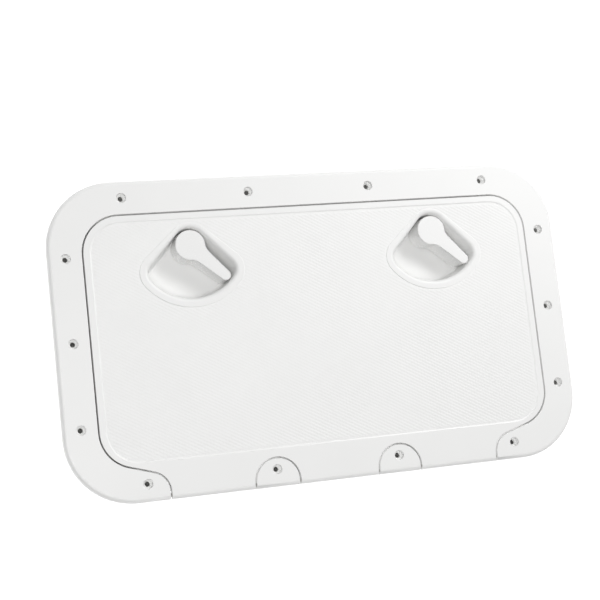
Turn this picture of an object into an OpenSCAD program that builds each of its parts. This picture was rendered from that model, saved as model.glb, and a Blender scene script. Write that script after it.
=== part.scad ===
// Deck inspection hatch: a moulded frame with a gutter, a hinged lid with three
// tongues, and two recessed turning latches. Units are millimetres.
// Origin: centre of the screw pattern, on the deck plane under the flange.
// +X runs along the hinge, +Y points from the hinge to the latches, +Z is up.

/* [Frame] */
// Length over the flange
frame_l = 606; // [600:1:640]
// Width over the flange
frame_w = 353; // [350:1:380]
// Plan radius of the flange corners
frame_r = 75; // [70:1:80]
// Height of the flange above the deck
flange_h = 9.5; // [9:0.1:11]
// Edge rounding of the flange
rim_r = 5; // [3:0.5:5.5]
// Depth of the skirt below the deck
skirt_d = 39; // [38.5:0.5:45]
// Half length of the stretch on the latch side where the skirt ends at the gutter's floor
skirt_cut_x = 212; // [195:1:218]
// General wall thickness
wall = 2.8; // [2.6:0.1:3]

/* [Screw holes] */
// Screw pitch along the long sides
pitch_x = 144.5; // [144:0.1:145]
// Screw pitch along the short sides
pitch_y = 92.8; // [92:0.1:93.5]
// Distance of the long screw rows from the centre
row_y = 157; // [156.5:0.1:158]
// Distance of the short screw rows from the centre
row_x = 283; // [282:0.1:284]
// Radius of the screw clearance hole
hole_r = 2.8; // [2.5:0.1:3]
// Radius of the screw head recess
recess_r = 5.4; // [5:0.1:6]

/* [Lid] */
// Half length of the lid, to the middle of the gap
gap_x = 264.3; // [264:0.1:264.5]
// Latch side of the lid, to the middle of the gap
gap_y = 137.9; // [137.5:0.1:138.2]
// Width of the gap round the lid
gap = 1.7; // [1.5:0.1:2]
// Thickness of the lid's top skin
skin = 3; // [2.8:0.1:3.2]
// Depth of the patterned field below the lid's border
field_d = 0.6; // [0.4:0.1:0.8]

/* [Hinge] */
// Radius of the hinge pins
pin_r = 2; // [1.8:0.05:2.2]
// Running clearance of the pins in the lid's tongues
pin_fit = 0.05; // [0.03:0.01:0.1]
// Length of each pin
pin_l = 26; // [24:1:28]

/* [Latches] */
// Distance of each latch from the centre line
latch_x = 144.7; // [144:0.1:145.5]
// Distance of the latches from the screw pattern's centre
latch_y = 99.8; // [99:0.1:100]
// Angle of the handles, from +X
handle_a = -44.5; // [-46:0.5:-43]
// Depth of the finger recess
dish_d = 31; // [30:0.5:31]
// Reach of the cam from the latch axis
cam_reach = 36; // [34:0.5:37]

/* [Hidden] */
$fn = 96;
eps = 0.01;                         // overlap that keeps faces from meeting edge on
big = 400;                          // further than any part of the hatch reaches

plastic = "whitesmoke";
steel = "silver";
rubber = "dimgray";
nylon = "darkslategray";
brass = "goldenrod";
acetal = "ivory";

frame_y = frame_w / 2;
half_gap = gap / 2;
top_r = 42;                         // plan radius of the lid's latch-side corners
low_c = [223.3, -98];               // centre of the lid's hinge-side corner arc
low_r = 41;                         // radius of that arc
low_y = low_c[1] - low_r;           // hinge side of the lid's main panel
top_c = [gap_x - top_r, gap_y - top_r];
shoulder_c = [215, -167];           // centre of the frame shoulder beside the outer tongues
shoulder_r = 22.5;
tab_c = [pitch_x / 2, -169.5];      // centre of the frame's round tabs between the tongues
tab_r = 25.5;

top_z = flange_h;
axis_z = flange_h / 2;              // the hinge pins lie in the middle of the tongues' noses
axis_y = axis_z - frame_y;
nose_r = axis_z - 0.05;
ledge_z = 2.5;                      // frame ledge under the tongues
ledge_y = -166;                     // outer edge of that ledge
ledge_gap = 0.7;                    // room between the ledge and the tongues
under_z = top_z - skin;             // underside of the lid's skin
knuckle_w = 6;                      // solid web in the middle of each tongue

flange_skin = 3.2;                  // flange thickness over its cored cells
screw_boss_r = 9;
core_in_r = 48;                     // inner radius of the cored cells in the corners
core_span = 22;                     // angle of each of those cells
seat_z = 2.6;                       // lower end of the screw recess's cone
seat_top = 4.4;                     // upper end of that cone
seat_r = recess_r - 0.4;

gutter_z = -22.5;                   // gutter floor
gutter_wall = 3;
sill_in = 9;                        // sill's outer face, inwards from the gap
sill_w = 3.2;
sill_z = 0.6;                       // top of the sill's plastic upstand
seal_wall = 1.4;                    // rubber round the sill
seal_grip = 9;                      // depth of the seal's channel on the sill
bulb_r = 2.8;
bulb_wall = 1.1;
bulb_gap = 0.3;                     // room between the bulb and the closed lid
rim_w = 3;                          // thickness of the lid's rim wall
rim_in_z = -6;                      // lower edge of the lid's rim wall

field = [257, -134.5, 131, 36];     // half length, hinge side, latch side, corner radius
rib_z = -3;
rib_w = 2.4;
rib_x = [-210, -80, 0, 80, 210];
rib_y = [-90, -30, 20];
rib_room = 5;                       // from the sill to the ends of the lid's ribs

// The finger recess is a round apex round the latch axis, 45 degree flanks,
// rounded sides and an arc struck from the latch axis on the hinge side.
apex_r = 19.5;
bezel_apex_r = 25.5;
side_c = [36.5, -29];
sweep_r = 59.5;
bezel_sweep_r = 69.5;
dish_floor = top_z - dish_d;
dish_wall = 3;
dish_under = dish_floor - dish_wall;

boss_r = 17;
arm_end = 51.5;
tip_r = 6;
arm_root_r = 10;
arm_fillet_r = 15;
handle_wall = 2.8;
handle_top = 3.2;                   // thickness of the handle's top
shoulder_r_in = 9.5;                // round boss inside the handle, over the collar
handle_z = dish_floor + 1;
stem_r = 7;
stem_fit = 0.05;
collar_r = 11;
collar_z = -12;
washer_t = 0.8;
shoulder_z = collar_z + washer_t + 0.05;
seal_z = -16;
seal_r = 1.1;
drive_w = 9;
cam_top = -26.2;
cam_t = 5;
cam_z = cam_top - cam_t;
cam_boss_r = 12;
cam_tip_r = 8;
drive_z = cam_z + 0.2;              // end of the stem's square, just inside the cam
insert_l = 10.8;
insert_r = 3.2;
screw_r = 2.5;
cam_washer_t = 1.2;
lock_washer_t = 1.4;
head_h = 3;

// One pin at each joint between a tongue and the frame.
joint_x = [shoulder_c[0] - shoulder_r, tab_c[0] + tab_r, tab_c[0] - tab_r];
pin_x = [-joint_x[0], -joint_x[1], -joint_x[2], joint_x[2], joint_x[1], joint_x[0]];

// ---------- plan outlines ----------

// Rectangle from y0 to y1 with half length hx and its own corner radius at each end.
module panel(hx, y0, y1, r0, r1) {
    for (s = [-1, 1]) {
        translate([s * (hx - r0), y0 + r0]) circle(r0);
        translate([s * (hx - r1), y1 - r1]) circle(r1);
    }
    square_to([r0 - hx, y0], [hx - r0, y0 + r0]);
    square_to([r1 - hx, y1 - r1], [hx - r1, y1]);
    square_to([-hx, y0 + r0], [hx, y1 - r1]);
}

module square_to(a, b) translate(a) square(b - a);

module box_to(a, b) translate(a) cube(b - a);

module both_sides() { children(); mirror([1, 0, 0]) children(); }

function unit(a) = [cos(a), sin(a)];

// Points of an arc from angle a0 to a1, a few degrees apart.
function arc(c, r, a0, a1) =
    let (n = ceil(abs(a1 - a0) / 5))
    [for (i = [0:n]) c + r * unit(a0 + (a1 - a0) * i / n)];

// A list of points on the right, followed by their mirror images back to the start.
function mirrored(pts) = concat(pts, [for (i = [len(pts) - 1:-1:0]) [-pts[i][0], pts[i][1]]]);

// The straight edge between the corner arc and the shoulder arc touches both.
function touch_angle() =
    let (d = shoulder_c - low_c)
    atan2(d[1], d[0]) + acos((low_r + shoulder_r) / norm(d));

// Main panel of the lid, moved in by d from the middle of the gap.
module main_panel(d)
    polygon(mirrored(concat(arc(low_c, low_r - d, -90, 0), arc(top_c, top_r - d, 0, 90))));

// Full lid outline with its three tongues, moved in by d from the middle of the gap.
module lid_outline(d, end_y) {
    t = touch_angle();
    difference() {
        polygon(mirrored(concat([[joint_x[0] - d, end_y]],
            arc(shoulder_c, shoulder_r + d, 180, 180 + t),
            arc(low_c, low_r - d, t, 0), arc(top_c, top_r - d, 0, 90))));
        both_sides() polygon(concat([[joint_x[2] - d, end_y - 1]],
            arc(tab_c, tab_r + d, 180, 0), [[joint_x[1] + d, end_y - 1]]));
    }
}

// Ring of constant section: the 2D section's x runs outwards from the outline's edge.
module ring(hx, y0, y1, r0, r1) {
    for (s = [-1, 1]) {
        translate([s * (hx - r1), y1 - r1]) rotate(s > 0 ? 0 : 90) corner(r1) children();
        translate([s * (hx - r0), y0 + r0]) rotate(s > 0 ? -90 : 180) corner(r0) children();
        translate([0, (y0 + r0 + y1 - r1) / 2]) rotate(s > 0 ? 0 : 180)
            run(hx, y1 - y0 - r0 - r1) children();
    }
    translate([0, y1]) rotate(90) run(0, 2 * (hx - r1)) children();
    translate([0, y0]) rotate(-90) run(0, 2 * (hx - r0)) children();
}
module corner(r) rotate_extrude(angle = 90) translate([r, 0]) children();
module run(x, l) translate([x, l / 2]) rotate([90, 0, 0]) linear_extrude(l) children();

// Puts each child at the left end of a tongue; $span is that tongue's length.
module each_tongue()
    for (x = [[-joint_x[0], -joint_x[1]], [-joint_x[2], joint_x[2]], [joint_x[1], joint_x[0]]])
        let ($span = x[1] - x[0]) translate([x[0], 0, 0]) children();

module screw_points() {
    both_sides() {
        for (x = [0.5, 1.5], s = [-1, 1]) translate([x * pitch_x, s * row_y]) children();
        for (k = [-1, 0, 1]) translate([row_x, k * pitch_y]) children();
    }
}

// ---------- frame ----------

module frame_section() {
    translate([-rim_r, 0]) square([rim_r, flange_h - rim_r]);
    translate([-rim_r, flange_h - rim_r]) intersection() {
        circle(rim_r);
        square(rim_r);
    }
}

// Wall that follows the main panel's outline, from d0 to d1 inwards and z0 to z1 upwards.
module wall_ring(d0, d1, z0, z1)
    translate([0, 0, z0]) linear_extrude(z1 - z0) difference() {
        main_panel(d0);
        main_panel(d1);
    }

// Skirt, gutter floor and sill. The skirt stops at the gutter's floor where the cams turn under it.
module gutter() {
    difference() {
        wall_ring(-half_gap - wall, -half_gap, -skirt_d, ledge_z);
        box_to([-skirt_cut_x, latch_y, -skirt_d - 1], [skirt_cut_x, frame_y, gutter_z - gutter_wall]);
    }
    wall_ring(-half_gap - wall, sill_in + sill_w, gutter_z - gutter_wall, gutter_z);
    wall_ring(sill_in, sill_in + sill_w, gutter_z - gutter_wall, sill_z);
}

module screw_cut() {
    translate([0, 0, -1]) cylinder(r = hole_r, h = flange_h + 2);
    translate([0, 0, seat_z]) cylinder(r1 = hole_r, r2 = seat_r, h = seat_top - seat_z);
    translate([0, 0, seat_top - eps])
        cylinder(r1 = seat_r, r2 = recess_r, h = flange_h - seat_top + 2 * eps);
}

// Hollows under the flange, between ribs and round bosses for the screws.
module core_cells() {
    cell = pitch_x / 4;
    core_h = flange_h - flange_skin;
    y0 = gap_y + half_gap + wall;
    x0 = gap_x + half_gap + wall;
    difference() {
        translate([0, 0, -1]) linear_extrude(core_h + 1) {
            for (k = [-6:5])
                square_to([k * cell + rib_w / 2, y0], [(k + 1) * cell - rib_w / 2, frame_y - rim_r]);
            both_sides() for (k = [-2:1])
                square_to([x0, k * pitch_y / 2 + rib_w / 2],
                    [frame_l / 2 - rim_r, (k + 1) * pitch_y / 2 - rib_w / 2]);
            both_sides() corner_cells();
        }
        screw_points() translate([0, 0, -2]) cylinder(r = screw_boss_r, h = flange_h);
    }
}

module corner_cells() {
    c = frame_l / 2 - frame_r;
    for (a = [9, 36, 63]) core_sector([c, frame_y - frame_r], a);
    for (a = [-31, -56]) core_sector([c, frame_r - frame_y], a);
}

module core_sector(c, a) {
    far = frame_r + 15;
    translate(c) intersection() {
        difference() {
            circle(frame_r - rim_r);
            circle(core_in_r);
        }
        polygon([[0, 0], far * unit(a), far * unit(a + core_span / 2), far * unit(a + core_span)]);
    }
}

module frame() {
    color(plastic) {
        difference() {
            union() {
                linear_extrude(flange_h)
                    panel(frame_l / 2 - rim_r, rim_r - frame_y, frame_y - rim_r,
                        frame_r - rim_r, frame_r - rim_r);
                ring(frame_l / 2, -frame_y, frame_y, frame_r, frame_r) frame_section();
            }
            translate([0, 0, -1]) linear_extrude(flange_h + 2) main_panel(-half_gap);
            translate([0, 0, ledge_z]) linear_extrude(flange_h) lid_outline(-half_gap, -big);
            each_tongue() box_to([-half_gap, -big, -1], [$span + half_gap, ledge_y, flange_h + 1]);
            core_cells();
            screw_points() screw_cut();
            for (k = [0:5]) pin_bore(k, pin_r);
        }
        gutter();
    }
}

// ---------- hinge ----------

module pin_bore(k, r)
    translate([pin_x[k] - pin_l / 2, axis_y, axis_z]) rotate([0, 90, 0]) cylinder(r = r, h = pin_l);

module hinge_pin(k) {
    chamfer = 0.4;
    color(steel) translate([pin_x[k] - pin_l / 2, axis_y, axis_z]) rotate([0, 90, 0]) {
        cylinder(r1 = pin_r - chamfer, r2 = pin_r, h = chamfer);
        translate([0, 0, chamfer]) cylinder(r = pin_r, h = pin_l - 2 * chamfer);
        translate([0, 0, pin_l - chamfer]) cylinder(r1 = pin_r, r2 = pin_r - chamfer, h = chamfer);
    }
}

// ---------- seal ----------

// Push-on trim: a channel that grips the sill, with a round bulb on top.
module seal_section() {
    bulb_at = [-sill_in - sill_w / 2, under_z - bulb_gap - bulb_r];
    difference() {
        union() {
            square_to([-sill_in - sill_w - seal_wall, sill_z - seal_grip],
                [-sill_in + seal_wall, sill_z + seal_wall]);
            translate(bulb_at) circle(bulb_r);
        }
        translate(bulb_at) circle(bulb_r - bulb_wall);
        square_to([-sill_in - sill_w, sill_z - seal_grip - 1], [-sill_in, sill_z]);
    }
}

module lid_seal() color(rubber) ring(gap_x, low_y, gap_y, low_r, top_r) seal_section();

// ---------- lid ----------

// Recess outline round the latch axis: the apex arc, flanks that touch it and the side
// arcs, and the sweep arc, which touches the side arcs from outside.
module recess_outline(apex, sweep) {
    to_side = atan2(side_c[1], side_c[0]);
    side = sweep - norm(side_c);
    t = to_side + acos((apex - side) / norm(side_c));
    polygon(mirrored(concat(arc([0, 0], sweep, -90, to_side),
        arc(side_c, side, to_side, t), arc([0, 0], apex, t, 90))));
}

module dish_outline(d) recess_outline(apex_r + d, sweep_r + d);

module at_latch(side) translate([side * latch_x, latch_y]) children();

module each_latch() for (side = [-1, 1]) at_latch(side) children();

// Hollows under the hinge tongues that let the pins be slid in from below.
module tongue_cells() {
    y0 = axis_y - pin_r - 0.2;
    each_tongue() for (x = [[pin_l / 2, ($span - knuckle_w) / 2],
            [($span + knuckle_w) / 2, $span - pin_l / 2]])
        box_to([x[0], y0, -1], [x[1], low_y - 1, under_z]);
}

module lid_ribs() {
    for (x = rib_x)
        box_to([x - rib_w / 2, low_y + rim_w, rib_z], [x + rib_w / 2, gap_y - rim_w, under_z + 1]);
    for (y = rib_y)
        box_to([rim_w - gap_x, y - rib_w / 2, rib_z], [gap_x - rim_w, y + rib_w / 2, under_z + 1]);
}

// The ribs stop short of the frame's sill all round.
module rib_field() translate([0, 0, -big / 2]) linear_extrude(big)
    main_panel(sill_in + sill_w + rib_room);

module tongues() {
    difference() {
        union() {
            translate([0, 0, ledge_z + ledge_gap]) linear_extrude(top_z - ledge_z - ledge_gap)
                intersection() {
                    lid_outline(half_gap, axis_y);
                    square_to([-big, -frame_y], [big, low_y + 6]);
                }
            intersection() {
                translate([-big / 2, axis_y, axis_z]) rotate([0, 90, 0])
                    cylinder(r = nose_r, h = big);
                translate([0, 0, -1]) linear_extrude(top_z + 2) lid_outline(half_gap, -frame_y);
            }
        }
        tongue_cells();
    }
}

module lid() {
    color(plastic) difference() {
        union() {
            difference() {
                union() {
                    translate([0, 0, under_z]) linear_extrude(skin) lid_outline(half_gap, axis_y);
                    tongues();
                    each_latch() translate([0, 0, dish_under])
                        linear_extrude(top_z - dish_under - 1) dish_outline(dish_wall);
                }
                // patterned field, sunk below the border and round the recess surrounds
                translate([0, 0, top_z - field_d]) linear_extrude(1) difference() {
                    panel(field[0], field[1], field[2], field[3], field[3]);
                    each_latch() recess_outline(bezel_apex_r, bezel_sweep_r);
                }
                each_latch() translate([0, 0, dish_floor]) linear_extrude(dish_d + 1)
                    dish_outline(0);
            }
            wall_ring(half_gap, half_gap + rim_w, rim_in_z, under_z + 1);
            intersection() { lid_ribs(); rib_field(); }
            each_latch() translate([0, 0, dish_floor - 1])
                cylinder(r = collar_r, h = collar_z - dish_floor + 1);
        }
        each_latch() translate([0, 0, dish_under - 1])
            cylinder(r = stem_r + stem_fit, h = dish_d + 4);
        for (k = [0:5]) pin_bore(k, pin_r + pin_fit);
    }
}

// ---------- latches ----------

// Plan of a handle pointing along +X, moved in by d: a round boss, a tapering arm with
// a round tip, and a fillet that touches the boss and the arm's edge on each side.
module handle_outline(d) {
    a = acos((arm_root_r - tip_r) / arm_end);
    up = arm_root_r + arm_fillet_r;
    c = up * unit(a) + sqrt(pow(boss_r + arm_fillet_r, 2) - up * up) * unit(a - 90);
    circle(boss_r - d);
    translate([arm_end, 0]) circle(tip_r - d);
    for (m = [0, 1]) mirror([0, m, 0]) {
        polygon([[0, 0], (arm_root_r - d) * unit(a),
            [arm_end, 0] + (tip_r - d) * unit(a), [arm_end, 0]]);
        difference() {
            polygon([[0, 0], (boss_r - d) / norm(c) * c, c, c - (arm_fillet_r + d) * unit(a)]);
            translate(c) circle(arm_fillet_r + d);
        }
    }
}

// The arm and boss are hollow below; the stem ends in a square for the cam.
module handle(side) {
    color(plastic) at_latch(side) rotate(handle_a) difference() {
        union() {
            difference() {
                translate([0, 0, handle_z]) linear_extrude(top_z - handle_z) handle_outline(0);
                translate([0, 0, handle_z - 1]) linear_extrude(top_z - handle_top - handle_z + 1)
                    handle_outline(handle_wall);
            }
            translate([0, 0, shoulder_z]) cylinder(r = shoulder_r_in, h = top_z - shoulder_z - 1);
            translate([0, 0, cam_top]) cylinder(r = stem_r, h = shoulder_z - cam_top + 1);
            translate([0, 0, drive_z]) linear_extrude(cam_top - cam_z)
                square(drive_w, center = true);
        }
        translate([0, 0, seal_z]) rotate_extrude()
            square_to([stem_r - 2 * seal_r, -seal_r - 0.1], [stem_r + 1, seal_r + 0.1]);
        translate([0, 0, drive_z - 1]) cylinder(r = insert_r, h = insert_l + 1);
        translate([0, 0, drive_z - 1]) cylinder(r = screw_r + 0.2, h = insert_l + 4);
    }
}

module thrust_washer(side) color(acetal) at_latch(side) translate([0, 0, collar_z + 0.03])
    difference() {
        cylinder(r = collar_r, h = washer_t - 0.01);
        translate([0, 0, -1]) cylinder(r = stem_r + 0.1, h = 4);
    }

module stem_seal(side) color(rubber) at_latch(side) translate([0, 0, seal_z])
    rotate_extrude() translate([stem_r - seal_r, 0]) circle(seal_r);

module stem_insert(side) color(brass) at_latch(side) translate([0, 0, drive_z])
    difference() {
        cylinder(r = insert_r, h = insert_l);
        translate([0, 0, -1]) cylinder(r = screw_r, h = insert_l + 2);
    }

// The cam points along -X while the latch is released.
module cam(side) {
    color(nylon) at_latch(side) translate([0, 0, cam_z]) difference() {
        union() {
            cylinder(r = cam_boss_r, h = cam_t);
            translate([cam_tip_r - cam_reach, 0, 0]) cylinder(r = cam_tip_r, h = cam_t);
            box_to([cam_tip_r - cam_reach, -cam_tip_r, 0], [0, cam_tip_r, cam_t]);
        }
        // lead-in ramp on the edge that goes under the frame first
        translate([-cam_reach - 1, 1, cam_t]) rotate([-25, 0, 0]) cube([20, 12, 6]);
        rotate(handle_a) translate([0, 0, -1]) linear_extrude(cam_t + 2)
            square(drive_w, center = true);
    }
}

module cam_washer(side) color(steel) at_latch(side) translate([0, 0, cam_z - cam_washer_t])
    difference() {
        cylinder(r = 8, h = cam_washer_t);
        translate([0, 0, -1]) cylinder(r = screw_r + 0.2, h = 4);
    }

// Split spring washer.
module lock_washer(side) {
    z = cam_z - cam_washer_t - lock_washer_t;
    color(steel) at_latch(side) translate([0, 0, z]) difference() {
        cylinder(r = 4.6, h = lock_washer_t);
        translate([0, 0, -1]) cylinder(r = screw_r + 0.15, h = 4);
        rotate(200) translate([0, -0.4, -1]) rotate([20, 0, 0]) cube([8, 0.8, 4]);
    }
}

module cam_screw(side) {
    z = cam_z - cam_washer_t - lock_washer_t;
    color(steel) at_latch(side) difference() {
        union() {
            translate([0, 0, z - head_h]) cylinder(r1 = 4, r2 = 4.7, h = 1);
            translate([0, 0, z - head_h + 1]) cylinder(r = 4.7, h = head_h - 1);
            translate([0, 0, z - eps]) cylinder(r = screw_r, h = 14);
        }
        translate([0, 0, z - head_h - 1]) linear_extrude(2.8) {
            square([1.2, 5.6], center = true);
            square([5.6, 1.2], center = true);
        }
    }
}

frame();
lid();
lid_seal();
handle(-1);  // left_handle
handle(1);  // right_handle
thrust_washer(-1);  // left_thrust_washer
thrust_washer(1);  // right_thrust_washer
stem_seal(-1);  // left_stem_seal
stem_seal(1);  // right_stem_seal
stem_insert(-1);  // left_stem_insert
stem_insert(1);  // right_stem_insert
cam(-1);  // left_cam
cam(1);  // right_cam
cam_washer(-1);  // left_cam_washer
cam_washer(1);  // right_cam_washer
lock_washer(-1);  // left_lock_washer
lock_washer(1);  // right_lock_washer
cam_screw(-1);  // left_cam_screw
cam_screw(1);  // right_cam_screw
hinge_pin(0);  // hinge_pin_1
hinge_pin(1);  // hinge_pin_2
hinge_pin(2);  // hinge_pin_3
hinge_pin(3);  // hinge_pin_4
hinge_pin(4);  // hinge_pin_5
hinge_pin(5);  // hinge_pin_6
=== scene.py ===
from math import acos, atan2, cos, hypot, pi, radians, sin

import bmesh
import bpy
import numpy as np
from mathutils import Matrix, Vector


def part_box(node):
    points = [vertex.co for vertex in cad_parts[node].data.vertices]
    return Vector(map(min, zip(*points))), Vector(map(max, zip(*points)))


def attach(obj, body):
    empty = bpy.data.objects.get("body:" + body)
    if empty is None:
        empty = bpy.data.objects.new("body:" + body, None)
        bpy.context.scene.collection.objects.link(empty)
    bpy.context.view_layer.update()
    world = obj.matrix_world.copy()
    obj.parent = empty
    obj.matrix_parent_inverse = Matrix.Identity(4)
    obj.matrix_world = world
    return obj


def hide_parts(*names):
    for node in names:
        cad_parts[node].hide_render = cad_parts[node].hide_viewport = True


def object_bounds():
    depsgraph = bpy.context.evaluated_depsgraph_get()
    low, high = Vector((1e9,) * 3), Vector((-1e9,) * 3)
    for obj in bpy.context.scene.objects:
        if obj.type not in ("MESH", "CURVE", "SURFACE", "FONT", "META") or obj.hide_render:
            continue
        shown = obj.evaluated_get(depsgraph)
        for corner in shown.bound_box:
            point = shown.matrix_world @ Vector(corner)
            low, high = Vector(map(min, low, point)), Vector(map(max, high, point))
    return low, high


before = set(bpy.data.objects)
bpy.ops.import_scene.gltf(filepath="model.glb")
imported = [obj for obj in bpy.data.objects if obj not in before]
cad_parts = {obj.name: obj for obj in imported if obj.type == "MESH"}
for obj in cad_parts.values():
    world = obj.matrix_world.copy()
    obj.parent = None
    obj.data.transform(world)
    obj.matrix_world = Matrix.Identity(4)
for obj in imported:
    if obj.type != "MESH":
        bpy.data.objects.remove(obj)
cad_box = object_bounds()
scene = bpy.context.scene


# ---------------------------------------------------------------------------
# Camera: a long lens that looks down at the closed hatch from beyond its left
# end and its hinge side, so that the hatch lies on a slant in a square frame.
camera_at = Vector((-0.4401, -0.1320, 1.3873))
camera_aim = Vector((-0.0250, 0.0290, 0.0095))
camera_lean = radians(-6.5)

lens = bpy.data.cameras.new("camera")
lens.sensor_width = 36
lens.lens = 76.66
camera = bpy.data.objects.new("camera", lens)
scene.collection.objects.link(camera)
look = (camera_aim - camera_at).normalized()
across = look.cross(Vector((-sin(camera_lean), cos(camera_lean), 0))).normalized()
turn = Matrix((across, across.cross(look), -look)).transposed().to_4x4()
camera.matrix_world = Matrix.Translation(camera_at) @ turn
scene.camera = camera


# ---------------------------------------------------------------------------
# Studio: a bright light table, a grey card under the hatch that keeps its light
# out of the screw holes and paints the shade beneath the hatch, a key soft box close
# to the camera, a larger one beyond the latch side on the right, and an even white surround.
def linear(code):
    """sRGB hex to linear: c becomes ((c + 0.055) / 1.055) to the power 2.4, or c / 12.92 near black."""
    c = np.array([int(code[k:k + 2], 16) for k in (0, 2, 4)]) / 255
    c = np.where(c > 0.04045, ((c + 0.055) / 1.055) ** 2.4, c / 12.92)
    return (*c.tolist(), 1.0)


def new_material(name):
    """A material with no nodes yet, and its node tree."""
    material = bpy.data.materials.new(name)
    material.use_nodes = True
    material.node_tree.nodes.clear()
    return material, material.node_tree


def add(tree, kind, inputs, **settings):
    """Adds one node with its own settings; each input takes a value or another node's socket."""
    node = tree.nodes.new("ShaderNode" + kind)
    for name, value in settings.items():
        setattr(node, name, value)
    for name, value in inputs.items():
        if isinstance(value, bpy.types.NodeSocket):
            tree.links.new(value, node.inputs[name])
        else:
            node.inputs[name].default_value = value
    return node


def backlit_acrylic():
    """Opal acrylic sheet, lit from below: matt, white and evenly bright."""
    material, tree = new_material("backlit_opal_acrylic")
    white = linear("FAFAFA")
    shader = add(tree, "BsdfPrincipled", {
        "Base Color": white, "Roughness": 0.6, "Emission Color": white, "Emission Strength": 0.75})
    add(tree, "OutputMaterial", {"Surface": shader.outputs["BSDF"]})
    return material


scene.view_settings.view_transform = "Standard"
card_top = cad_box[0][2] - 0.0001
table_top = card_top - 0.0004
table_half = 4
table_corner = 0.5
card_low = (-0.289, -0.168)
card_high = (0.312, 0.175)
card_corner = 0.073


def arc(centre, radius, start, end, count, last=False):
    """Points (centre + radius times (cos a, sin a)) at even steps of the angle a."""
    a = np.linspace(start, end, count, endpoint=last)
    return np.stack([centre[0] + radius * np.cos(a), centre[1] + radius * np.sin(a)], axis=1)


def round_rectangle(x0, y0, x1, y1, r, count):
    """Outline of a rectangle with round corners: four quarter arcs, anticlockwise."""
    return np.concatenate([
        arc((x1 - r, y0 + r), r, -pi / 2, 0, count, last=True),
        arc((x1 - r, y1 - r), r, 0, pi / 2, count, last=True),
        arc((x0 + r, y1 - r), r, pi / 2, pi, count, last=True),
        arc((x0 + r, y0 + r), r, pi, 3 * pi / 2, count, last=True)])


def flat_sheet(name, outline, z, material):
    """A level sheet of the stage."""
    mesh = bpy.data.meshes.new(name)
    mesh.from_pydata(np.column_stack([outline, np.full(len(outline), z)]), [], [range(len(outline))])
    mesh.materials.append(material)
    sheet = bpy.data.objects.new(name, mesh)
    scene.collection.objects.link(sheet)


def painted_shade_card():
    """Painted shade: a dark grey sheet that stands for the shade under the hatch, with a faint noise mottle.
    """
    material, tree = new_material("painted_shade_grey_sheet")
    place = add(tree, "TexCoord", {}).outputs["Object"]
    mottle = add(tree, "TexNoise", {"Vector": place, "Scale": 1 / 0.002, "Detail": 3.0})
    # Two dark greys mixed by noise: painted shade for the shadow under the hatch, seen through the screw
    # holes.
    tone = add(tree, "MixRGB", {
        "Fac": mottle.outputs["Fac"], "Color1": linear("5C5C5A"), "Color2": linear("666664")})
    shader = add(tree, "BsdfPrincipled", {"Base Color": tone.outputs["Color"], "Roughness": 0.9})
    add(tree, "OutputMaterial", {"Surface": shader.outputs["BSDF"]})
    return material


table = round_rectangle(-table_half, -table_half, table_half, table_half, table_corner, 8)
card = round_rectangle(*card_low, *card_high, card_corner, 12)
flat_sheet("light_table", table, table_top, backlit_acrylic())
# The grey card is painted shade: a dark sheet laid where there is only the hatch's shadow.
flat_sheet("painted_shade_card", card, card_top, painted_shade_card())

surround = bpy.data.worlds.new("surround")
surround.use_nodes = True
surround.node_tree.nodes["Background"].inputs["Color"].default_value = linear("FFFFFF")
surround.node_tree.nodes["Background"].inputs["Strength"].default_value = 0.22
scene.world = surround


def soft_box(name, place, aim, width, height, watts):
    """A square-cornered soft box that points at a spot on the hatch."""
    light = bpy.data.lights.new(name, "AREA")
    light.shape = "RECTANGLE"
    light.size = width
    light.size_y = height
    light.energy = watts
    lamp = bpy.data.objects.new(name, light)
    lamp.rotation_euler = (Vector(aim) - Vector(place)).to_track_quat("-Z", "Y").to_euler()
    lamp.location = place
    scene.collection.objects.link(lamp)


soft_box("key_soft_box", place=(-0.50, -0.22, 1.60), aim=(0, 0, 0), width=0.5, height=0.5, watts=10.6)
soft_box("side_soft_box", place=(1.15, 0.95, 1.40), aim=(0.05, 0.05, 0), width=1.4, height=1.0, watts=25)


# ---------------------------------------------------------------------------
# Frame: one injection moulding in white ABS. Flange with a rounded rim and 14
# recessed screw holes, gutter, sill and skirt. Only the edges of its flat top
# are broken, by 0.4 mm.
def moulded_plastic(name, light, dark, roughness, grain, depth):
    """Injection-moulded ABS: flow marks of a few centimetres shift the white a little, and a
    spark-eroded grain, given by its size and depth in metres, softens the gloss."""
    material, tree = new_material(name)
    place = add(tree, "TexCoord", {}).outputs["Object"]
    flow = add(tree, "TexNoise", {"Vector": place, "Scale": 1 / 0.08, "Detail": 2.0, "Distortion": 0.6})
    tone = add(tree, "MixRGB", {"Fac": flow.outputs["Fac"], "Color1": linear(light), "Color2": linear(dark)})
    pits = add(tree, "TexNoise", {"Vector": place, "Scale": 1 / grain, "Detail": 3.0, "Roughness": 0.6})
    polish = add(tree, "MapRange", {
        "Value": pits.outputs["Fac"], "To Min": roughness - 0.06, "To Max": roughness + 0.06})
    relief = add(tree, "Bump", {"Height": pits.outputs["Fac"], "Strength": 1.0, "Distance": depth})
    shader = add(tree, "BsdfPrincipled", {
        "Base Color": tone.outputs["Color"], "Roughness": polish.outputs["Result"],
        "Normal": relief.outputs["Normal"], "IOR": 1.53})
    add(tree, "OutputMaterial", {"Surface": shader.outputs["BSDF"]})
    return material


weld_gap = 0.000003
flat = radians(0.3)
crisp = radians(35)
narrow_half = 0.00005


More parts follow.
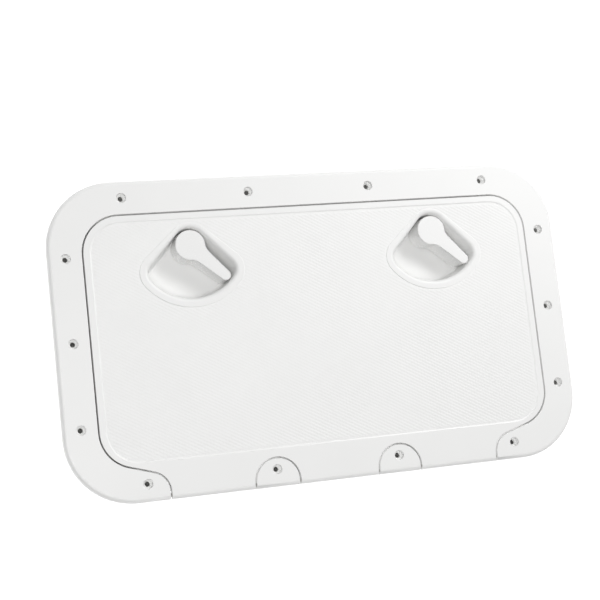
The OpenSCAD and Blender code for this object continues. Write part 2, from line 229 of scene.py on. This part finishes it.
def merged_copy(node, lowest=-1.0):
    """A CAD node's loose triangles joined at their corners, with each flat face made whole. The edges
    to break are marked: those above a given height that turn by more than 35 degrees between faces
    wider than 0.1 mm, where half a long face's width is its area over its perimeter."""
    bm = bmesh.new()
    bm.from_mesh(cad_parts[node].data)
    bmesh.ops.remove_doubles(bm, verts=bm.verts, dist=weld_gap)
    bmesh.ops.dissolve_limit(bm, angle_limit=flat, verts=bm.verts, edges=bm.edges)
    mark = bm.edges.layers.float.new("bevel_weight_edge")
    for edge in bm.edges:
        sides = edge.link_faces
        high = min(v.co.z for v in edge.verts) > lowest
        if high and len(sides) == 2 and edge.calc_face_angle() > crisp:
            half_width = min(side.calc_area() / side.calc_perimeter() for side in sides)
            edge[mark] = float(half_width > narrow_half)
    return bm


def mesh_of(name, bm):
    """Writes an edited mesh out and frees it."""
    mesh = bpy.data.meshes.new(name)
    bm.to_mesh(mesh)
    bm.free()
    return mesh


def add_piece(name, mesh, material, body, broken_edge=None):
    """Puts a finished mesh in the scene, smooth over its curves, with its marked edges broken."""
    mesh.materials.clear()
    mesh.materials.append(material)
    mesh.polygons.foreach_set("use_smooth", np.ones(len(mesh.polygons), bool))
    piece = bpy.data.objects.new(name, mesh)
    scene.collection.objects.link(piece)
    if broken_edge:
        bevel = piece.modifiers.new("broken_edges", "BEVEL")
        bevel.width = broken_edge
        bevel.segments = 3
        bevel.limit_method = "WEIGHT"
        bevel.use_clamp_overlap = False
        bevel.miter_outer = "MITER_ARC"
    else:
        mesh.set_sharp_from_angle(angle=crisp)
    normals = piece.modifiers.new("flat_faces_stay_flat", "WEIGHTED_NORMAL")
    normals.keep_sharp = True
    normals.weight = 50
    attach(piece, body)
    return piece


frame_white = moulded_plastic("moulded_abs_frame", "F7F7F6", "F3F3F2", 0.42, 0.0011, 0.00002)
just_below_top = cad_box[1][2] - 0.0001
frame_mesh = mesh_of("frame_shell", merged_copy("frame", just_below_top))
frame_shell = add_piece("frame_shell", frame_mesh, frame_white, "frame", broken_edge=0.0004)
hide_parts("frame")


# ---------------------------------------------------------------------------
# Lid: one injection moulding in the same ABS, with the rim wall, ribs and hinge
# tongues below. The sunk field and the finger recesses are made in what follows.
latch_x = 0.1447
latch_y = 0.0998
lid_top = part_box("lid")[1].z
field_sink = 0.0006
field_z = lid_top - field_sink
dish_floor = lid_top - 0.031
field_half = 0.257
field_low = -0.1345
field_high = 0.131
field_corner = 0.036
dish_apex = 0.0195
dish_sweep = 0.0595
surround_apex = 0.0255
surround_sweep = 0.0695
side_points = 30
flank_points = 14
apex_points = 20


def straight(start, end, count):
    """Points at even steps along a straight line, without its end."""
    t = np.linspace(0, 1, count, endpoint=False)[:, None]
    return start + t * (end - start)


def recess_loop(apex, sweep):
    """Outline round the latch axis: half of the sweep arc, a round side that touches it from inside,
    a straight flank and half of the apex arc, then the same mirrored in X."""
    side_at = np.array([0.0365, -0.0290])
    reach = hypot(*side_at)
    toward = atan2(side_at[1], side_at[0])
    side = sweep - reach
    flank = toward + acos((apex - side) / reach)
    round_side = arc(side_at, side, toward, flank, side_points)
    round_apex = arc((0, 0), apex, flank, pi / 2, apex_points, last=True)
    flank_start = side_at + side * np.array([cos(flank), sin(flank)])
    right = np.concatenate([arc((0, 0), sweep, -pi / 2, toward, side_points), round_side,
                            straight(flank_start, round_apex[0], flank_points), round_apex])
    return np.concatenate([right, right[-2:0:-1] * (-1, 1)])


bezel = recess_loop(surround_apex, surround_sweep)


def bezel_distance(x, y):
    """Distance of a point outside the recess surround, along the ray from the nearer latch axis."""
    dx = np.abs(x) - latch_x
    dy = y - latch_y
    along = np.arctan2(bezel[:, 1], bezel[:, 0])
    order = np.argsort(along)
    edge = np.interp(np.arctan2(dy, dx), along[order], np.hypot(bezel[order, 0], bezel[order, 1]),
                     period=2 * pi)
    return np.hypot(dx, dy) - edge


def field_distance(x, y):
    """Distance of a point inside the field's outline, a rectangle with round corners."""
    qx = np.abs(x) - (field_half - field_corner)
    qy = np.abs(y - (field_low + field_high) / 2) - ((field_high - field_low) / 2 - field_corner)
    outside = np.hypot(np.maximum(qx, 0), np.maximum(qy, 0))
    return field_corner - outside - np.minimum(np.maximum(qx, qy), 0)


def open_lid_top(bm):
    """Takes out the recess surrounds, walls, floors and collars, and the small step round the field."""
    slack = 0.00006
    gone = []
    for face in bm.faces:
        points = np.array([v.co for v in face.verts])
        if face.normal.z < -0.5 or points[:, 2].min() < dish_floor - slack:
            continue
        in_recess = bezel_distance(points[:, 0], points[:, 1]).max() < slack
        on_step = (np.abs(field_distance(points[:, 0], points[:, 1])).max() < slack
                   and abs(face.normal.z) < 0.5 and points[:, 2].min() > field_z - slack)
        if in_recess or on_step:
            gone.append(face)
    bmesh.ops.delete(bm, geom=gone, context="FACES")
    return bm


lid_white = moulded_plastic("moulded_abs_lid", "F7F7F6", "F3F3F2", 0.40, 0.0011, 0.00002)
lid_mesh = mesh_of("lid_shell", open_lid_top(merged_copy("lid")))
lid_shell = add_piece("lid_shell", lid_mesh, lid_white, "lid", broken_edge=0.0004)
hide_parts("lid")


# ---------------------------------------------------------------------------
# Non-slip field: low diamond pyramids, 7 by 4 mm, moulded into the lid between
# a narrow plain margin and the recess surrounds.
diamond_l = 0.007
diamond_w = 0.004
diamond_h = 0.0003
plain_margin = 0.0028
plain_by_recess = 0.0008
fade_w = 0.0015
dip = 0.00005
lift = 0.00007


def diamond_field():
    """Height over a grid with four steps to a diamond: u and v count the two families of grooves,
    x / length plus or minus y / width, and the height rises with the distance to the nearer groove.
    It dips under the plain floor at the edges. Each cell is cut along the groove that crosses it."""
    step_x, step_y = diamond_l / 4, diamond_w / 4
    i = np.arange(-int(field_half / step_x) - 1, int(field_half / step_x) + 2)
    j = np.arange(int(field_low / step_y) - 1, int(field_high / step_y) + 2)
    ii, jj = np.meshgrid(i, j)
    x, y = ii * step_x, jj * step_y
    u, v = x / diamond_l + y / diamond_w, x / diamond_l - y / diamond_w
    rise = 2 * np.minimum(np.abs(u - np.round(u)), np.abs(v - np.round(v)))
    room = np.minimum(field_distance(x, y) - plain_margin, bezel_distance(x, y) - plain_by_recess)
    fade = np.clip(room / fade_w, 0, 1)
    z = field_z - dip + fade * (lift + diamond_h * rise)
    k = np.arange(ii.size).reshape(ii.shape)
    a, b, c, d = k[:-1, :-1], k[:-1, 1:], k[1:, 1:], k[1:, :-1]
    kept = (fade[:-1, :-1] + fade[:-1, 1:] + fade[1:, 1:] + fade[1:, :-1]) > 0
    rising = ((ii - jj)[:-1, :-1] % 4 == 0)
    first = np.where(rising[..., None], np.stack([a, b, c], -1), np.stack([a, b, d], -1))[kept]
    second = np.where(rising[..., None], np.stack([a, c, d], -1), np.stack([b, c, d], -1))[kept]
    faces = np.concatenate([first, second])
    used, faces = np.unique(faces, return_inverse=True)
    points = np.stack([x, y, z], axis=-1).reshape(-1, 3)[used]
    mesh = bpy.data.meshes.new("lid_diamond_field")
    mesh.from_pydata(points, [], faces.reshape(-1, 3))
    return mesh


field_white = moulded_plastic("moulded_abs_non_slip", "F7F7F6", "F3F3F2", 0.5, 0.0009, 0.00001)
add_piece("lid_diamond_field", diamond_field(), field_white, "lid")


def swept_mesh(name, loops):
    """Surface through a stack of closed loops with equal counts: point (u, v) is point u of loop v,
    and each cell between neighbours is one face. Loops run anticlockwise, from outside inwards."""
    grid = np.stack(loops)
    k = np.arange(grid.shape[0] * grid.shape[1]).reshape(grid.shape[:2])
    beside = np.roll(k, -1, axis=1)
    faces = np.stack([k[:-1], beside[:-1], beside[1:], k[1:]], axis=-1).reshape(-1, 4)
    mesh = bpy.data.meshes.new(name)
    mesh.from_pydata(grid.reshape(-1, 3), [], faces)
    return mesh


def at_height(outline, z):
    """A plan outline lifted to one height."""
    return np.column_stack([outline, np.full(len(outline), z)])


def field_border():
    """Soft slope from the lid's border down to the field: a half cosine carried along the field's
    outline, a rectangle with round corners."""
    slope_w = 0.0022
    tuck = 0.00003

    def outline(inwards):
        return round_rectangle(-field_half + inwards, field_low + inwards, field_half - inwards,
                               field_high - inwards, field_corner - inwards, 16)

    t = np.linspace(0, 1, 9)
    drop = (field_sink + tuck) * (1 - np.cos(pi * t)) / 2
    loops = [at_height(outline(slope_w * s), lid_top - down) for s, down in zip(t, drop)]
    return swept_mesh("lid_field_border", loops)


add_piece("lid_field_border", field_border(), lid_white, "lid")


# ---------------------------------------------------------------------------
# Finger recesses: a deep pocket beside each latch with a plain raised surround,
# a soft lip, steep walls, a flat floor and a collar that carries the handle.
def finger_recess(name, side):
    """A profile carried along the recess outline: up the surround's edge, over the lip on a quarter
    circle, down the drafted wall, round to the floor and over to the round collar. The flanks
    lean more than the rest, by a share that eases in along the round side and out at the apex."""
    lip_r, draft, flank_draft, floor_r = 0.0045, 0.0008, 0.0024, 0.003
    collar_r, bore_r, collar_top = 0.011, 0.00705, -0.012
    along_side = np.linspace(0, 1, side_points, endpoint=False)
    along_flank = np.linspace(0, 1, flank_points, endpoint=False)
    ease = (1 - np.cos(pi * np.clip(along_side * 1.3 - 0.3, 0, 1))) / 2
    ease_out = (1 + np.cos(pi * np.clip(along_flank * 3 - 2, 0, 1))) / 2
    share = np.concatenate([np.zeros(side_points), ease, ease_out, np.zeros(apex_points)])
    share = np.concatenate([share, share[-2:0:-1]])[:, None]

    def dish(outwards, lean=0.0):
        plain = recess_loop(dish_apex + outwards, dish_sweep + outwards)
        leaning = recess_loop(dish_apex + outwards - lean, dish_sweep + outwards - lean)
        return plain + share * (leaning - plain)

    quarter = np.linspace(0, pi / 2, 9)
    surround_edge = ((0.0002, 0.0008), (0.0001, 0.0004), (0, 0.0002), (-0.0001, 0.00006), (-0.0003, 0),
                     (-0.0005, 0))
    loops = [at_height(recess_loop(surround_apex + out, surround_sweep + out), lid_top - down)
             for out, down in surround_edge]
    loops.append(at_height(dish(lip_r + 0.0003), lid_top))
    loops += [at_height(dish(lip_r * (1 - sin(t))), lid_top - lip_r * (1 - cos(t))) for t in quarter]
    deep = lid_top - lip_r
    low = dish_floor + floor_r
    loops += [at_height(dish(-draft * s, flank_draft * s), deep + (low - deep) * s)
              for s in (0.03, 0.35, 0.7, 0.97)]
    loops += [at_height(dish(-draft - floor_r * (1 - cos(t)), flank_draft), low - floor_r * sin(t))
              for t in quarter]
    edge = dish(-draft - floor_r, flank_draft)
    bearing = edge / np.hypot(edge[:, 0], edge[:, 1])[:, None]
    foot_r = 0.001
    foot = bearing * (collar_r + foot_r)
    loops += [at_height(edge + (foot - edge) * s, dish_floor) for s in (0.05, 0.35, 0.65, 0.95)]
    loops += [at_height(bearing * (collar_r + foot_r * (1 - sin(t))), dish_floor + foot_r * (1 - cos(t)))
              for t in quarter[::2]]
    loops += [at_height(bearing * r, z) for r, z in (
        (collar_r, collar_top - 0.0005), (collar_r - 0.0003, collar_top), (bore_r, collar_top))]
    return swept_mesh(name, [loop + (side * latch_x, latch_y, 0) for loop in loops])


for side, hand in ((-1, "left"), (1, "right")):
    recess_name = f"lid_{hand}_recess"
    add_piece(recess_name, finger_recess(recess_name, side), lid_white, "lid")


# ---------------------------------------------------------------------------
# Handles: glossier ABS mouldings, flush with the lid, hollow below. The upper
# edge is rounded by 0.7 mm, where the mould halves meet.
def handle_mesh(node):
    """A copy of the CAD handle with its whole upper edge rounded."""
    bm = merged_copy(node)
    high = lid_top - 0.00002
    rounding = 0.0007
    rim = [e for e in bm.edges if len(e.link_faces) == 2 and all(v.co.z > high for v in e.verts)
           and e.calc_face_angle(0) > radians(60)]
    bmesh.ops.bevel(bm, geom=rim, offset=rounding, offset_type="OFFSET", segments=5, profile=0.5,
                    affect="EDGES", clamp_overlap=False, loop_slide=True)
    return mesh_of(node + "_moulding", bm)


handle_white = moulded_plastic("moulded_abs_handle_gloss", "F8F8F7", "F5F5F4", 0.26, 0.0016, 0.00001)
for hand in ("left", "right"):
    node = hand + "_handle"
    handle = add_piece(node + "_moulding", handle_mesh(node), handle_white, hand + "_latch",
                       broken_edge=0.0003)
    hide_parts(node)


# ---------------------------------------------------------------------------
# Seals: black EPDM. The lid seal is extruded and pushed on to the sill, and an
# O-ring sits in a groove in each handle's stem.
def finish_nodes(material, *nodes):
    """Gives carried-over CAD nodes their material."""
    for node in nodes:
        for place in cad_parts[node].material_slots:
            place.material = material


def extruded_rubber():
    """EPDM rubber: near black, matt, with a bloom of a few millimetres and fine die lines."""
    material, tree = new_material("extruded_epdm_rubber")
    place = add(tree, "TexCoord", {}).outputs["Object"]
    bloom = add(tree, "TexNoise", {"Vector": place, "Scale": 1 / 0.006, "Detail": 4.0})
    tone = add(tree, "MixRGB", {
        "Fac": bloom.outputs["Fac"], "Color1": linear("1B1B1C"), "Color2": linear("2B2B2C")})
    die_lines = add(tree, "TexNoise", {"Vector": place, "Scale": 1 / 0.0005, "Detail": 2.0})
    relief = add(tree, "Bump", {"Height": die_lines.outputs["Fac"], "Strength": 1.0, "Distance": 0.00003})
    shader = add(tree, "BsdfPrincipled", {
        "Base Color": tone.outputs["Color"], "Roughness": 0.72, "IOR": 1.52,
        "Normal": relief.outputs["Normal"]})
    add(tree, "OutputMaterial", {"Surface": shader.outputs["BSDF"]})
    return material


finish_nodes(extruded_rubber(), "lid_seal", "left_stem_seal", "right_stem_seal")


# ---------------------------------------------------------------------------
# Cams: glass-filled nylon, black, driven by the square end of each stem.
def glass_filled_nylon():
    """Nylon with chopped glass: charcoal, with pale fibres about a millimetre long at the skin."""
    material, tree = new_material("glass_filled_nylon")
    place = add(tree, "TexCoord", {}).outputs["Object"]
    stretch = add(tree, "Mapping", {"Vector": place, "Scale": (1.0, 4.0, 1.0)})
    fibres = add(tree, "TexNoise", {
        "Vector": stretch.outputs["Vector"], "Scale": 1 / 0.0012, "Detail": 4.0})
    sparse = add(tree, "MapRange", {"Value": fibres.outputs["Fac"], "From Min": 0.5, "From Max": 0.8})
    tone = add(tree, "MixRGB", {
        "Fac": sparse.outputs["Result"], "Color1": linear("202123"), "Color2": linear("4A4B4D")})
    relief = add(tree, "Bump", {"Height": fibres.outputs["Fac"], "Strength": 1.0, "Distance": 0.00004})
    shader = add(tree, "BsdfPrincipled", {
        "Base Color": tone.outputs["Color"], "Roughness": 0.55, "IOR": 1.53,
        "Normal": relief.outputs["Normal"]})
    add(tree, "OutputMaterial", {"Surface": shader.outputs["BSDF"]})
    return material


finish_nodes(glass_filled_nylon(), "left_cam", "right_cam")


# ---------------------------------------------------------------------------
# Stainless steel: the hinge pins, and each latch's screw and washers.
def turned_metal(name, light, dark, roughness):
    """Turned or stamped metal: tool marks a quarter of a millimetre apart vary its gloss and tone."""
    material, tree = new_material(name)
    place = add(tree, "TexCoord", {}).outputs["Object"]
    marks = add(tree, "TexNoise", {"Vector": place, "Scale": 1 / 0.00025, "Detail": 3.0})
    haze = add(tree, "TexNoise", {"Vector": place, "Scale": 1 / 0.004, "Detail": 2.0})
    tone = add(tree, "MixRGB", {"Fac": haze.outputs["Fac"], "Color1": linear(light), "Color2": linear(dark)})
    polish = add(tree, "MapRange", {
        "Value": haze.outputs["Fac"], "To Min": roughness - 0.08, "To Max": roughness + 0.1})
    relief = add(tree, "Bump", {"Height": marks.outputs["Fac"], "Strength": 1.0, "Distance": 0.000006})
    shader = add(tree, "BsdfPrincipled", {
        "Base Color": tone.outputs["Color"], "Metallic": 1.0, "Roughness": polish.outputs["Result"],
        "Normal": relief.outputs["Normal"]})
    add(tree, "OutputMaterial", {"Surface": shader.outputs["BSDF"]})
    return material


latch_steel = [f"{hand}_{part}" for hand in ("left", "right")
               for part in ("cam_washer", "lock_washer", "cam_screw")]
finish_nodes(turned_metal("turned_stainless_steel", "C9C8C4", "B4B3B0", 0.28),
             *[f"hinge_pin_{k}" for k in range(1, 7)], *latch_steel)


# ---------------------------------------------------------------------------
# Brass inserts, pressed into the stems for the cam screws.
finish_nodes(turned_metal("turned_brass", "D9B56A", "C29A4E", 0.3), "left_stem_insert", "right_stem_insert")


# ---------------------------------------------------------------------------
# Thrust washers: natural acetal, between each handle and its collar.
acetal = moulded_plastic("stamped_acetal", "EFEDE4", "E6E4DA", 0.35, 0.0008, 0.00001)
finish_nodes(acetal, "left_thrust_washer", "right_thrust_washer")
